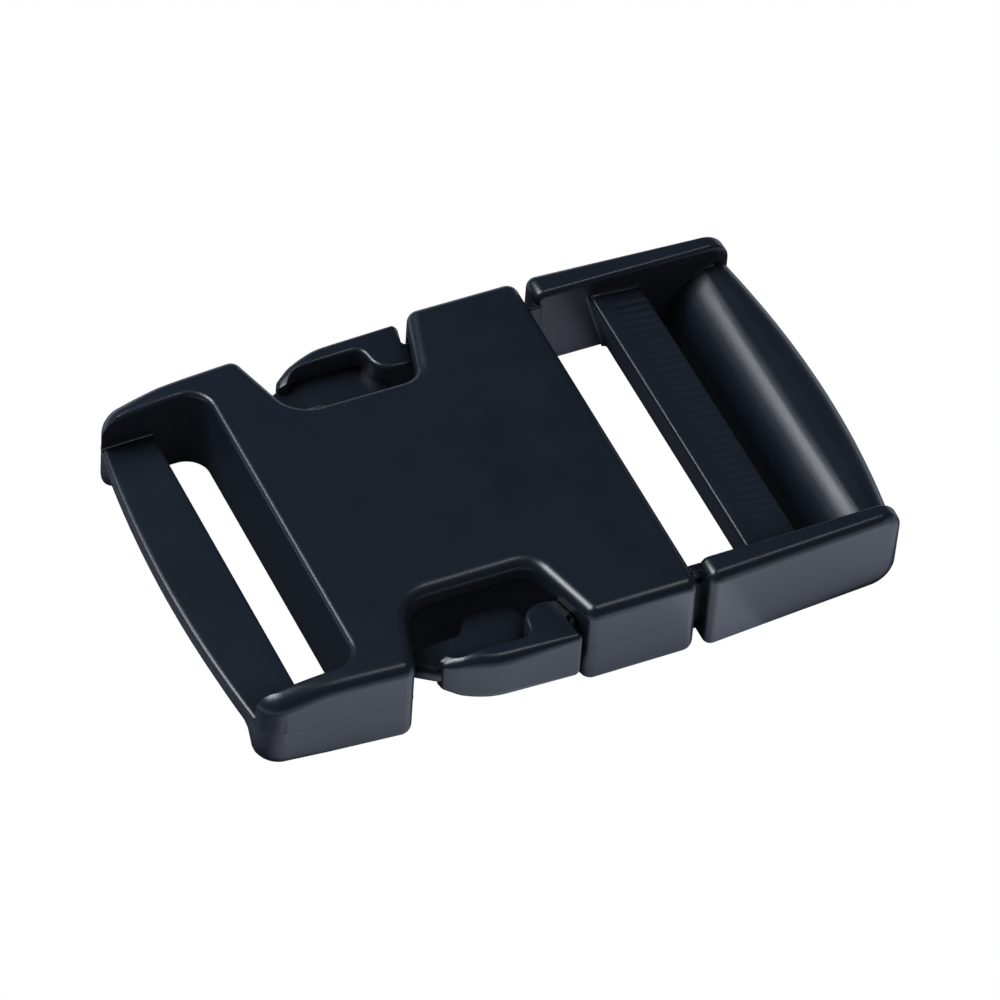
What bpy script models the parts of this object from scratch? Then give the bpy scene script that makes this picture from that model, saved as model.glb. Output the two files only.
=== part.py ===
"""Side-release buckle for 38 mm webbing: socket with a sewn-on loop, plug with a ladder adjuster.

Metres, +Z up. The origin is the middle of the closed buckle's length and width, on the plane that
it rests on. The strap runs along X: the socket lies on the -X side of the mouth and the plug on the
+X side. The dimensions below count X from the socket's mouth, and main() moves the finished pieces
to the origin.
"""

import math

import bmesh
import bpy
from mathutils import Matrix, Vector

MM = 0.001

# Whole buckle
THICKNESS = 10.2 * MM
SLOT_HALF = 19.7 * MM          # half the clear width of every webbing slot
EDGE_ROUND = 0.8 * MM
CLEARANCE = 0.3 * MM           # between neighbouring pieces
ARC_STEP = math.radians(15)
OVERLAP = 0.5 * MM             # how far a joined shape runs into its neighbour
BEYOND = 2 * MM                # how far a cutter runs past the surface it opens
SKIM = 0.02 * MM               # keeps a rounding cutter from lying in the faces it blends
WELD = 0.001 * MM
BOW_SLICES = 12                # cuts across Y in a shape that bows
SMOOTH_BELOW = math.radians(35)
BEVEL_ABOVE = math.radians(40)
NAVY_BLACK = (0.011, 0.015, 0.022)
SATIN = 0.42                   # roughness

# Socket outline, X from the mouth and Y from the middle line
LOOP_END_X = -46.1 * MM
LOOP_BOW = 1.65 * MM
LOOP_HALF = 21.2 * MM
LOOP_CORNER = 1.8 * MM
FRONT_HALF = 22.2 * MM         # half width where the side window starts
MOUTH_HALF = 22.4 * MM
WINDOW_FRONT_X = -30.8 * MM
WINDOW_FRONT_FOOT_X = -28.0 * MM
WINDOW_REAR_FOOT_X = -14.6 * MM
WINDOW_REAR_X = -12.0 * MM
WINDOW_FOOT_Y = 13.7 * MM
WINDOW_FRONT_ROUND = 3.6 * MM
WINDOW_REAR_ROUND = 2.2 * MM

# Webbing loop at the end of the socket
SLOT_REAR_X = -35.6 * MM
LOOP_BAR_X = -40.9 * MM
LOOP_BAR_TOP = 5.85 * MM
LOOP_BAR_ROUND = 3.0 * MM
SLOT_CORNER = 2.4 * MM

# Cavity that takes the plug
PLATE = 2.1 * MM
THROAT_HALF = 21.0 * MM
CAVITY_FRONT_X = -33.5 * MM
CAVITY_FRONT_HALF = 20.4 * MM
CAVITY_STEP_X = -22.0 * MM
GUIDE_INNER = 5.0 * MM
GUIDE_OUTER = 6.2 * MM
GUIDE_REAR_X = -8.0 * MM

# Plug: the part inside the socket
INSERT_LOW = PLATE + CLEARANCE
INSERT_HIGH = THICKNESS - PLATE - CLEARANCE
CROSSBAR_FRONT_X = -2.6 * MM
CROSSBAR_REAR_X = 1.0 * MM
TONGUE_HALF = GUIDE_INNER - CLEARANCE
TONGUE_TIP_X = -28.0 * MM

# Plug: the two side rails
RAIL_FRONT_X = 1.26 * MM
RAIL_REAR_X = 22.8 * MM
RAIL_OUTER = 22.15 * MM
RAIL_NARROWING = 1.1 * MM      # by how much each rail's outer face comes in at its rear end
RAIL_LOW_ROUND = 2.8 * MM
RAIL_HIGH_ROUND = 1.6 * MM

# Plug: the ridged grip bar
GRIP_TOP = 8.15 * MM
GRIP_FRONT_X = 6.9 * MM
GRIP_REAR_X = 12.7 * MM
GRIP_FOOT_X = 9.4 * MM
RIDGE_START_X = 9.4 * MM
RIDGE_PITCH = 1.05 * MM
RIDGE_DEPTH = 0.25 * MM
RIDGE_COUNT = 35

# Plug: the end bar that the strap turns round
END_FRONT_X = 15.85 * MM
END_ARC_LOW = 1.4 * MM
END_ARC_RADIUS = 6.75 * MM
END_ARC_STEPS = 8
END_TOP = 7.75 * MM
END_REAR_X = 22.8 * MM
END_BOW = 1.9 * MM
END_HIGH_ROUND = 2.0 * MM
END_LOW_ROUND = 3.0 * MM

# Latch arms, which bend inwards at their roots
PIVOT_X = CROSSBAR_FRONT_X
PIVOT_Y = 18.9 * MM
ARM_HALF = 1.4 * MM
ARM_END_ROUND = 1.386 * MM     # just under ARM_HALF, so that a short flat is left between the two corners
BEAM_FRONT_X = -10.8 * MM
SHOULDER_X = -12.6 * MM
SHOULDER_SLOPE = 0.3           # X per Y of the catch face
SHOULDER_ROUND = 0.4 * MM
PAD_OUTER = 22.95 * MM
PAD_INNER = 21.0 * MM
PAD_BEND_X = -21.0 * MM        # where the pad's outer side turns towards the nose
PAD_BEND_ROUND = 8.0 * MM
PAD_TIP_OUTER = (-27.6 * MM, 20.9 * MM)
PAD_TIP_INNER = (-26.6 * MM, 20.2 * MM)
PAD_FRONT_X = -24.6 * MM
PAD_STEP_X = -18.2 * MM        # where the thin pad wall meets the thick head
HEAD_FRONT_X = -16.6 * MM
HEAD_REAR_X = -12.0 * MM
HEAD_INNER = 17.3 * MM
SMALL_ROUND = 1.0 * MM
NOSE_X = -30.4 * MM
NOSE_INNER = 16.4 * MM
NOSE_REAR_X = -22.8 * MM
WEB_HALF = 0.75 * MM
WEB_INNER = 14.6 * MM
WEB_FRONT_X = -21.6 * MM
WEB_REAR_X = -17.2 * MM
WEB_ROOT_X = -16.0 * MM


def clear_scene():
    for obj in list(bpy.data.objects):
        bpy.data.objects.remove(obj, do_unlink=True)


def collection(name, hidden=False):
    made = bpy.data.collections.new(name)
    bpy.context.scene.collection.children.link(made)
    made.hide_render = hidden
    return made


def material(name, colour, roughness):
    made = bpy.data.materials.new(name)
    made.use_nodes = True
    shader = made.node_tree.nodes["Principled BSDF"]
    shader.inputs["Base Color"].default_value = (*colour, 1)
    shader.inputs["Roughness"].default_value = roughness
    shader.inputs["Metallic"].default_value = 0
    return made


def corner_points(before, corner, after, radius):
    """The arc that rounds one corner of an outline."""
    towards_before = (before - corner).normalized()
    towards_after = (after - corner).normalized()
    half_angle = towards_before.angle(towards_after) / 2
    centre = corner + (towards_before + towards_after).normalized() * (radius / math.sin(half_angle))
    start = corner + towards_before * (radius / math.tan(half_angle)) - centre
    turn = math.pi - 2 * half_angle
    steps = max(1, round(turn / ARC_STEP))
    side = 1 if towards_before.cross(towards_after) < 0 else -1
    points = []
    for step in range(steps + 1):
        angle = side * turn * step / steps
        cosine, sine = math.cos(angle), math.sin(angle)
        spoke = Vector((start.x * cosine - start.y * sine, start.x * sine + start.y * cosine))
        points.append(centre + spoke)
    return points


def rounded(corners):
    """An outline from corners given as (x, y) or (x, y, radius)."""
    points = []
    for index, corner in enumerate(corners):
        here = Vector(corner[:2])
        if len(corner) == 2:
            points.append(here)
            continue
        before = Vector(corners[index - 1][:2])
        after = Vector(corners[(index + 1) % len(corners)][:2])
        points += corner_points(before, here, after, corner[2])
    return points


def mirrored(corners):
    """Corners given for +Y, followed by the same ones for -Y in reverse."""
    return list(corners) + [(c[0], -c[1], *c[2:]) for c in reversed(corners)]


def plate(name, outline, low, high, home, upright=False):
    """A closed solid from a flat outline: X-Y raised along Z, or X-Z raised along Y if upright."""
    curve = bpy.data.curves.new(name, "CURVE")
    curve.dimensions = "2D"
    curve.fill_mode = "BOTH"
    curve.extrude = (high - low) / 2
    spline = curve.splines.new("POLY")
    spline.points.add(len(outline) - 1)
    for point, place in zip(spline.points, outline):
        point.co = (place.x, place.y, 0, 1)
    spline.use_cyclic_u = True
    guide = bpy.data.objects.new(name + "_outline", curve)
    bpy.context.scene.collection.objects.link(guide)
    if upright:
        guide.rotation_euler = (math.pi / 2, 0, 0)
        guide.location = (0, (low + high) / 2, 0)
    else:
        guide.location = (0, 0, (low + high) / 2)
    bpy.context.view_layer.update()
    graph = bpy.context.evaluated_depsgraph_get()
    mesh = bpy.data.meshes.new_from_object(guide.evaluated_get(graph))
    mesh.transform(guide.matrix_world)
    bpy.data.objects.remove(guide, do_unlink=True)
    weld(mesh)
    made = bpy.data.objects.new(name, mesh)
    home.objects.link(made)
    return made


def weld(mesh):
    shape = bmesh.new()
    shape.from_mesh(mesh)
    bmesh.ops.remove_doubles(shape, verts=shape.verts, dist=WELD)
    bmesh.ops.recalc_face_normals(shape, faces=shape.faces)
    shape.to_mesh(mesh)
    shape.free()


def slice_along_y(obj, half):
    """Cuts edge loops across Y, so that the shape can follow a bow."""
    shape = bmesh.new()
    shape.from_mesh(obj.data)
    for step in range(1, BOW_SLICES):
        y = half * (2 * step / BOW_SLICES - 1)
        bmesh.ops.bisect_plane(
            shape,
            geom=shape.verts[:] + shape.edges[:] + shape.faces[:],
            plane_co=(0, y, 0),
            plane_no=(0, 1, 0),
        )
    shape.to_mesh(obj.data)
    shape.free()


def bow_out(obj, still_x, moving_x, rise, half):
    """Bows the side at moving_x outwards along X by rise in the middle, and leaves still_x straight."""
    for vertex in obj.data.vertices:
        share = (vertex.co.x - still_x) / (moving_x - still_x)
        share = min(1, max(0, share))
        bulge = max(0, 1 - (vertex.co.y / half) ** 2)
        vertex.co.x += math.copysign(rise, moving_x - still_x) * share * bulge


def apply_modifiers(obj):
    bpy.context.view_layer.update()
    graph = bpy.context.evaluated_depsgraph_get()
    mesh = bpy.data.meshes.new_from_object(obj.evaluated_get(graph))
    obj.modifiers.clear()
    obj.data = mesh


def bevel(obj, width, segments=2):
    modifier = obj.modifiers.new("edge_round", "BEVEL")
    modifier.width = width
    modifier.segments = segments
    modifier.limit_method = "ANGLE"
    modifier.angle_limit = BEVEL_ABOVE
    apply_modifiers(obj)


def join(obj, other, operation="UNION"):
    modifier = obj.modifiers.new(operation.lower(), "BOOLEAN")
    modifier.operation = operation
    modifier.solver = "EXACT"
    modifier.object = other
    apply_modifiers(obj)
    bpy.data.objects.remove(other, do_unlink=True)


def cut(obj, cutter):
    cutter.hide_render = True
    cutter.display_type = "WIRE"
    join(obj, cutter, "DIFFERENCE")


def shade(obj, finish_material):
    obj.data.materials.clear()
    obj.data.materials.append(finish_material)
    obj.data.shade_smooth()
    obj.data.set_sharp_from_angle(angle=SMOOTH_BELOW)


def place_origin(obj, origin):
    """Moves the object's origin, and leaves its shape where it is."""
    obj.data.transform(Matrix.Translation(-origin))
    obj.location = origin


def socket_outline():
    return rounded(mirrored([
        (0, MOUTH_HALF, EDGE_ROUND),
        (WINDOW_REAR_X, MOUTH_HALF, EDGE_ROUND),
        (WINDOW_REAR_FOOT_X, WINDOW_FOOT_Y, WINDOW_REAR_ROUND),
        (WINDOW_FRONT_FOOT_X, WINDOW_FOOT_Y, WINDOW_FRONT_ROUND),
        (WINDOW_FRONT_X, FRONT_HALF, EDGE_ROUND),
        (LOOP_END_X, LOOP_HALF, LOOP_CORNER),
    ]))


def loop_slot_outline():
    return rounded(mirrored([
        (SLOT_REAR_X, SLOT_HALF, SLOT_CORNER),
        (LOOP_BAR_X, SLOT_HALF),
    ]))


def end_round_profile():
    """X-Z profile of what is cut away to round the lower edge of the loop end."""
    radius = LOOP_BAR_ROUND
    corner = Vector((LOOP_END_X - SKIM, -SKIM))
    along = Vector((radius * 2, 0))
    up = Vector((0, radius * 2))
    arc = corner_points(corner + along, corner, corner + up, radius)
    return arc + [
        Vector((LOOP_END_X - BEYOND, radius)),
        Vector((LOOP_END_X - BEYOND, -BEYOND)),
        Vector((LOOP_END_X + radius, -BEYOND)),
    ]


def cavity_outline():
    return rounded(mirrored([
        (BEYOND, THROAT_HALF),
        (CAVITY_STEP_X, THROAT_HALF),
        (CAVITY_STEP_X, CAVITY_FRONT_HALF),
        (CAVITY_FRONT_X, CAVITY_FRONT_HALF, LOOP_CORNER),
    ]))


def build_socket(home, cutters):
    socket = plate("socket_body", socket_outline(), 0, THICKNESS, home)
    bevel(socket, EDGE_ROUND)
    reach = LOOP_HALF + BEYOND
    cut(socket, plate("end_round", end_round_profile(), -reach, reach, cutters, upright=True))
    slot = plate("loop_slot", loop_slot_outline(), -BEYOND, THICKNESS + BEYOND, cutters)
    cut(socket, slot)
    above_bar = rounded([
        (LOOP_END_X - BEYOND, -SLOT_HALF),
        (LOOP_BAR_X + OVERLAP, -SLOT_HALF),
        (LOOP_BAR_X + OVERLAP, SLOT_HALF),
        (LOOP_END_X - BEYOND, SLOT_HALF),
    ])
    cut(socket, plate("above_loop_bar", above_bar, LOOP_BAR_TOP, THICKNESS + BEYOND, cutters))
    cut(socket, plate("cavity", cavity_outline(), PLATE, THICKNESS - PLATE, cutters))
    for side in (-1, 1):
        guide = rounded([
            (CAVITY_FRONT_X - OVERLAP, side * GUIDE_INNER),
            (GUIDE_REAR_X, side * GUIDE_INNER),
            (GUIDE_REAR_X, side * GUIDE_OUTER),
            (CAVITY_FRONT_X - OVERLAP, side * GUIDE_OUTER),
        ])
        join(socket, plate("guide", guide, PLATE - OVERLAP, THICKNESS - PLATE + OVERLAP, home))
    slice_along_y(socket, SLOT_HALF)
    bow_out(socket, LOOP_BAR_X, LOOP_END_X, LOOP_BOW, LOOP_HALF)
    return socket


def rail(side, home):
    profile = rounded([
        (RAIL_FRONT_X, 0, EDGE_ROUND),
        (RAIL_REAR_X, 0, RAIL_LOW_ROUND),
        (RAIL_REAR_X, THICKNESS, RAIL_HIGH_ROUND),
        (RAIL_FRONT_X, THICKNESS, EDGE_ROUND),
    ])
    made = plate("rail", profile, SLOT_HALF, RAIL_OUTER, home, upright=True)
    for vertex in made.data.vertices:
        share = (vertex.co.x - RAIL_FRONT_X) / (RAIL_REAR_X - RAIL_FRONT_X)
        if vertex.co.y > SLOT_HALF + OVERLAP:
            vertex.co.y -= RAIL_NARROWING * share
        vertex.co.y *= side
    weld(made.data)
    bevel(made, EDGE_ROUND)
    return made


def grip_bar(home, cutters):
    profile = rounded([
        (GRIP_FRONT_X, GRIP_TOP),
        (GRIP_FOOT_X, 0),
        (GRIP_REAR_X, 0, EDGE_ROUND),
        (GRIP_REAR_X, GRIP_TOP),
    ])
    half = SLOT_HALF + OVERLAP
    bar = plate("grip_bar", profile, -half, half, home, upright=True)
    for index in range(RIDGE_COUNT):
        y = (index - (RIDGE_COUNT - 1) / 2) * RIDGE_PITCH
        cut(bar, groove(y, cutters))
    return bar


def groove(y, cutters):
    """One V groove across the rear part of the grip bar, between two ridges."""
    length = GRIP_REAR_X - RIDGE_START_X + BEYOND
    shape = bmesh.new()
    bmesh.ops.create_cone(
        shape, cap_ends=True, segments=4, radius1=RIDGE_DEPTH, radius2=RIDGE_DEPTH, depth=length
    )
    mesh = bpy.data.meshes.new("groove")
    shape.to_mesh(mesh)
    shape.free()
    made = bpy.data.objects.new("groove", mesh)
    cutters.objects.link(made)
    made.rotation_euler = (0, math.pi / 2, 0)
    made.location = (RIDGE_START_X + length / 2, y, GRIP_TOP)
    return made


def end_bar(home):
    rise = END_TOP - END_ARC_LOW
    sweep = math.asin(rise / END_ARC_RADIUS)
    arc = []
    for step in range(END_ARC_STEPS + 1):
        angle = sweep * step / END_ARC_STEPS
        arc.append((
            END_FRONT_X + END_ARC_RADIUS * (1 - math.cos(angle)),
            END_ARC_LOW + END_ARC_RADIUS * math.sin(angle),
        ))
    profile = rounded(arc + [
        (END_REAR_X, END_TOP, END_HIGH_ROUND),
        (END_REAR_X, 0, END_LOW_ROUND),
        (END_FRONT_X, 0, SMALL_ROUND),
    ])
    half = SLOT_HALF + OVERLAP
    bar = plate("end_bar", profile, -half, half, home, upright=True)
    slice_along_y(bar, half)
    bow_out(bar, END_FRONT_X + END_ARC_RADIUS * (1 - math.cos(sweep)), END_REAR_X, END_BOW, half)
    return bar


def crossbar_outline():
    reach = THROAT_HALF - CLEARANCE
    recess_rear = PIVOT_X + ARM_HALF + CLEARANCE
    return rounded(mirrored([
        (CROSSBAR_FRONT_X, PIVOT_Y - ARM_HALF - CLEARANCE),
        (recess_rear, PIVOT_Y - ARM_HALF - CLEARANCE, ARM_HALF + CLEARANCE),
        (recess_rear, reach),
        (RAIL_FRONT_X + OVERLAP, reach),
        (RAIL_FRONT_X + OVERLAP, SLOT_HALF),
        (CROSSBAR_REAR_X, SLOT_HALF),
    ]))


def build_plug(home, cutters):
    plug = plate("plug_frame", crossbar_outline(), INSERT_LOW, INSERT_HIGH, home)
    tongue = rounded(mirrored([
        (CROSSBAR_FRONT_X + OVERLAP, TONGUE_HALF),
        (TONGUE_TIP_X, TONGUE_HALF, TONGUE_HALF / 2),
    ]))
    join(plug, plate("tongue", tongue, INSERT_LOW, INSERT_HIGH, home))
    for side in (-1, 1):
        join(plug, rail(side, home))
    join(plug, grip_bar(home, cutters))
    join(plug, end_bar(home))
    return plug


def arm_outline(side):
    """Beam, catch shoulder and finger pad wall, full height."""
    beam_outer = PIVOT_Y + ARM_HALF
    beam_inner = PIVOT_Y - ARM_HALF
    root_x = PIVOT_X + ARM_HALF
    catch_foot = SHOULDER_X - SHOULDER_SLOPE * (PAD_OUTER - beam_outer)
    corners = [
        (root_x, beam_outer, ARM_END_ROUND),
        (catch_foot, beam_outer),
        (SHOULDER_X, PAD_OUTER, SHOULDER_ROUND),
        (PAD_BEND_X, PAD_OUTER, PAD_BEND_ROUND),
        (*PAD_TIP_OUTER, SHOULDER_ROUND),
        (*PAD_TIP_INNER, SHOULDER_ROUND),
        (PAD_FRONT_X, PAD_INNER, SMALL_ROUND),
        (PAD_STEP_X, PAD_INNER, SMALL_ROUND),
        (HEAD_FRONT_X, HEAD_INNER, SMALL_ROUND),
        (HEAD_REAR_X, HEAD_INNER, SHOULDER_ROUND),
        (BEAM_FRONT_X, beam_inner, SHOULDER_ROUND),
        (root_x, beam_inner, ARM_END_ROUND),
    ]
    return rounded([(c[0], side * c[1], *c[2:]) for c in corners])


def web_outline(side):
    """Thin web inside the finger pad, at half height, which ends in the guide nose."""
    corners = [
        (WEB_ROOT_X, HEAD_INNER + OVERLAP),
        (WEB_ROOT_X, PAD_INNER + OVERLAP),
        (PAD_FRONT_X, PAD_INNER + OVERLAP),
        (NOSE_X, HEAD_INNER + SMALL_ROUND, SMALL_ROUND),
        (NOSE_X, NOSE_INNER, OVERLAP),
        (NOSE_REAR_X, NOSE_INNER, SMALL_ROUND),
        (WEB_FRONT_X, WEB_INNER, SMALL_ROUND),
        (WEB_REAR_X, WEB_INNER, SMALL_ROUND),
    ]
    return rounded([(c[0], side * c[1], *c[2:]) for c in corners])


def build_arm(name, side, home):
    arm = plate(name, arm_outline(side), INSERT_LOW, INSERT_HIGH, home)
    middle = THICKNESS / 2
    join(arm, plate("web", web_outline(side), middle - WEB_HALF, middle + WEB_HALF, home))
    place_origin(arm, Vector((PIVOT_X, side * PIVOT_Y, middle)))
    return arm


def middle_x():
    """Middle of the closed buckle's length, counted from the mouth."""
    return (LOOP_END_X - LOOP_BOW + END_REAR_X + END_BOW) / 2


def main():
    clear_scene()
    home = collection("side_release_buckle")
    cutters = collection("cutters", hidden=True)
    acetal = material("navy_black_acetal", NAVY_BLACK, SATIN)
    pieces = [
        build_socket(home, cutters),
        build_plug(home, cutters),
        build_arm("latch_arm_left", 1, home),
        build_arm("latch_arm_right", -1, home),
    ]
    for piece in pieces:
        shade(piece, acetal)
        piece.location.x -= middle_x()


main()
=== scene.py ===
"""Looks of the side-release buckle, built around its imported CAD.

Shapes are drawn in millimetres from the socket's mouth, on the middle line and the rest plane, and move to
the frame's metres once they are finished. Every visible piece is a closed solid with moulded roundings.
"""

import math

import bmesh
import bpy
from mathutils import Matrix, Vector


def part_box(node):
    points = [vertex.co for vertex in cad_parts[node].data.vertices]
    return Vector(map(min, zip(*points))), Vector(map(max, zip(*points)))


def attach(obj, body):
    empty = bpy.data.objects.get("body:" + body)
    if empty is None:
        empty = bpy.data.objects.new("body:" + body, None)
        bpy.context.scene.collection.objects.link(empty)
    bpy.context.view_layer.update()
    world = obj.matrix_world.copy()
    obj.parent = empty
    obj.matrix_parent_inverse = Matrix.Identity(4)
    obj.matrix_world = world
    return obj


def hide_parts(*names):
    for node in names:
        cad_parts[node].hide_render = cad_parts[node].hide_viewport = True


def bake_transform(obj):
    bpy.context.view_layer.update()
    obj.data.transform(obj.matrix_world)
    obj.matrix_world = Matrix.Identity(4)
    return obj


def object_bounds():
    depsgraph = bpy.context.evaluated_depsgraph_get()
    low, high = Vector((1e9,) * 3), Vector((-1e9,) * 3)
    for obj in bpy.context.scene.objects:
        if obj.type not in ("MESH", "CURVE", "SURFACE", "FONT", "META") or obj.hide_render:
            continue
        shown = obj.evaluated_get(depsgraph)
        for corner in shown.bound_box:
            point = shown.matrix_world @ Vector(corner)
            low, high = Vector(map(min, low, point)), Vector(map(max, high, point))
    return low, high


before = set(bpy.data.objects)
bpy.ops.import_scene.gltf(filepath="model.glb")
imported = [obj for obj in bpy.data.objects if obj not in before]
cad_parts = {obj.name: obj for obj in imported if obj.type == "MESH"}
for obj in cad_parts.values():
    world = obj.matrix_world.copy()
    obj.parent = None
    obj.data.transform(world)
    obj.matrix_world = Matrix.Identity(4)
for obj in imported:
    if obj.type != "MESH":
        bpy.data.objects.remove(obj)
CAD_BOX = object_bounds()

MM = 0.001
SOCKET_LOW, SOCKET_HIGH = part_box("socket_body")
MOUTH_X = SOCKET_HIGH.x
THICK = (SOCKET_HIGH.z - SOCKET_LOW.z) / MM
MIDDLE = THICK / 2
TO_FRAME = Matrix.Translation((MOUTH_X, 0, SOCKET_LOW.z)) @ Matrix.Scale(MM, 4)

# Mesh fineness
ARC_STEP = math.radians(7.5)
ROUND_STEPS = 7
BOW_SLICES = 40
ROLL_SLICES = 12
WELD = 0.0005
NEARLY_STRAIGHT = math.radians(0.2)
SMOOTH_BELOW = math.radians(32)
BEYOND = 3.0                   # how far a cutter runs past the shape that it cuts
OVERLAP = 0.5                  # how far a cutter or a slice runs on into a space that is already open
SINK = 0.6                     # how far a joined shape runs into its neighbour
SKIM = 0.015                   # keeps two joined shapes from sharing a plane

# Socket: outline
MOUTH_HALF = 22.65
FRONT_HALF = 22.75
SOCKET_CORNER = 1.3            # plan radius of the plain corners
LOOP_HALF = 21.8
LOOP_START = (-39.6, LOOP_HALF + 0.4)
LOOP_END_X = -46.1
LOOP_BOW = 1.65
LOOP_CORNER = 2.4
TOP_EDGE, LOW_EDGE = 1.3, 1.5  # rounding of the long edges, above and below
END_TOP_EDGE, END_LOW_EDGE = 2.0, 1.8
BAR_UNDERSIDE = 4.9            # rounding under the loop bar's outer side
UNDERSIDE_GROWTH = ((19.2, 2.0), (18.8, 2.9), (18.2, 4.2), (17.2, BAR_UNDERSIDE))  # (Y, rounding below)
RIM_ROLL_X, RIM_ROLL = -34.0, 1.45
SEAM_RISE = 0.03               # flash left along the mould's parting line
SEAM_HALF = 0.12

# Socket: side windows
WINDOW_FRONT, WINDOW_FRONT_FOOT, WINDOW_FRONT_ROUND = -30.8, -28.0, 3.6
WINDOW_REAR, WINDOW_REAR_FOOT, WINDOW_REAR_ROUND = -12.0, -14.6, 2.2
WINDOW_FOOT_Y = 13.7

# Socket: webbing slot and loop bar
SLOT_HALF = 19.67
SLOT_REAR = -35.6
SLOT_CORNER = 2.4
SLOT_EDGE = 0.6                # rounding where the slot opens through the top and the underside
POCKET_FLOOR_EDGE = 0.35       # rounding at the foot of the loop's inner walls
BAR_X = -40.9
BAR_TOP = 5.85
BAR_OUTER_EDGE, BAR_INNER_EDGE = 0.5, 0.3

# Socket: hollow
PLATE = 2.1
THROAT_HALF = 21.0
THROAT_CORNER = 0.7
LIP = 0.45                     # rounding of the mouth's inner edge
CAVITY_FRONT = -33.5
CAVITY_FRONT_HALF = 20.4
CAVITY_STEP, CAVITY_STEP_LENGTH = -22.0, 0.5
GUIDE_INNER, GUIDE_OUTER, GUIDE_REAR = 5.0, 6.2, -8.0

# Plug: crossbar, tongue and rails
INSERT_MARGIN = 2.4            # height left free above and below what goes into the socket
INSERT_LOW, INSERT_HIGH = INSERT_MARGIN, THICK - INSERT_MARGIN
CROSSBAR_FRONT = -2.6
CROSSBAR_HALF, CROSSBAR_REAR_HALF = 20.6, 19.3
CROSSBAR_EDGE, CROSSBAR_CORNER = 0.3, 0.4
CROSSBAR_REAR = 0.7
TONGUE_TIP, TONGUE_HALF, TONGUE_ROUND = -28.0, 4.7, 2.2
RAIL_FRONT, RAIL_REAR = 1.0, 22.8
RAIL_INNER, RAIL_OUTER = 19.35, 22.73
RAIL_NARROWING = 1.4           # by how much each rail's outer face comes in at its rear end
RAIL_FRONT_LOW_ROUND, RAIL_FRONT_HIGH_ROUND = 1.0, 1.2
RAIL_REAR_LOW_ROUND, RAIL_REAR_HIGH_ROUND = 2.8, 2.4
RAIL_LOW_EDGE, RAIL_HIGH_EDGE, RAIL_INNER_EDGE = 1.6, 1.2, 0.7
COLLAR_INNER, COLLAR_OUTER = 19.0, 20.2
COLLAR_LOW, COLLAR_HIGH = 0.5, 8.9
COLLAR_GAP, COLLAR_EDGE = 0.12, 0.2

# Plug: ridged grip bar
GRIP_TOP = 8.15
GRIP_FRONT, GRIP_REAR, GRIP_FOOT = 6.9, 12.8, 9.4
GRIP_FALL = 0.1                # how much the grip bar's top falls for each millimetre towards the end bar
GRIP_FILLET = 0.5              # how far from a rail the bar starts to widen into it
GRIP_TOP_STATIONS = (3.6, 2.7, 1.8, 1.2, 0.8, 0.4, 0.0)      # behind the start of the ridges
RIDGE_START, RIDGE_PITCH, RIDGE_DEPTH = 8.0, 1.0, 0.085
RIDGE_REACH = 17.7             # half the width of the ridged stretch
RINGS_PER_RIDGE = 8
RIDGE_END_FADE, RIDGE_START_FADE, RIDGE_EDGE_FADE = 0.4, 1.2, 0.25      # over these lengths they die out

# Plug: end bar
END_FRONT, END_ARC_LOW, END_RADIUS = 15.85, 1.4, 6.75
END_ARC_STEPS = 26
END_TOP, END_REAR, END_BOW = 7.75, 22.8, 1.9
END_LIP_STEP = 0.1             # height of the flat lip above the end of the arc
END_LIP_SLOPE = 0.9            # length over which the arc rises to the lip
END_LOW_ROUND, END_HIGH_ROUND, END_FOOT_ROUND = 3.0, 1.9, 0.5
END_FILLET = 0.4
END_BOW_START = 19.5

# Latch arms
PIVOT_X, PIVOT_Y = CROSSBAR_FRONT, 18.9     # where the arm starts to flex, out of the crossbar
ARM_HALF = 1.4
ARM_ROOT = 2.4                 # how far the arm runs behind its pivot, into the crossbar
ARM_EDGE = 0.4
BEAM_FRONT = -10.8
ROOT_SINK = 0.015              # share by which a latch root is thinner than the moulding around it
HEAD_REAR, HEAD_FRONT, HEAD_INNER = -12.0, -17.15, 17.3
CATCH_FOOT, CATCH = -13.4, -12.65
PAD_OUTER, PAD_INNER = 23.15, 20.97
PAD_EDGE = 1.1
PAD_BEND, PAD_BEND_ROUND = -22.0, 8.0
PAD_REAR, PAD_FRONT = -17.75, -25.3
PAD_TIP = (                    # (X, Y, plan radius, edge rounding), from the outer side inwards
    (-25.7, 21.75, 4.0, 0.85),
    (-27.1, 20.75, 0.8, 0.55),
    (-27.1, 19.8, 0.3, 0.25),
    (-26.2, 19.8, 0.3, 0.2),
)
PAD_TIP_X = -27.15
PAD_GAIN = 0.11                # the finger pads are thicker than the beams by this share
PAD_GAIN_X, PAD_GAIN_LENGTH = -12.8, 0.8
PAD_ROLL_X, PAD_ROLL = -22.6, 0.48
PAD_SLICES, PAD_SLICE_STEP = 8, 0.6
WEB_HALF = 0.8
WEB_ROOT, WEB_OUTER = (-15.4, 18.6), 21.5
WEB_SCOOP = ((-23.4, 16.7), (-21.8, 14.3), (-17.2, 14.3))
WEB_CORNER = 1.2
NOSE_X, NOSE_INNER, NOSE_EDGE = -29.9, 16.9, 0.8

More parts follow.
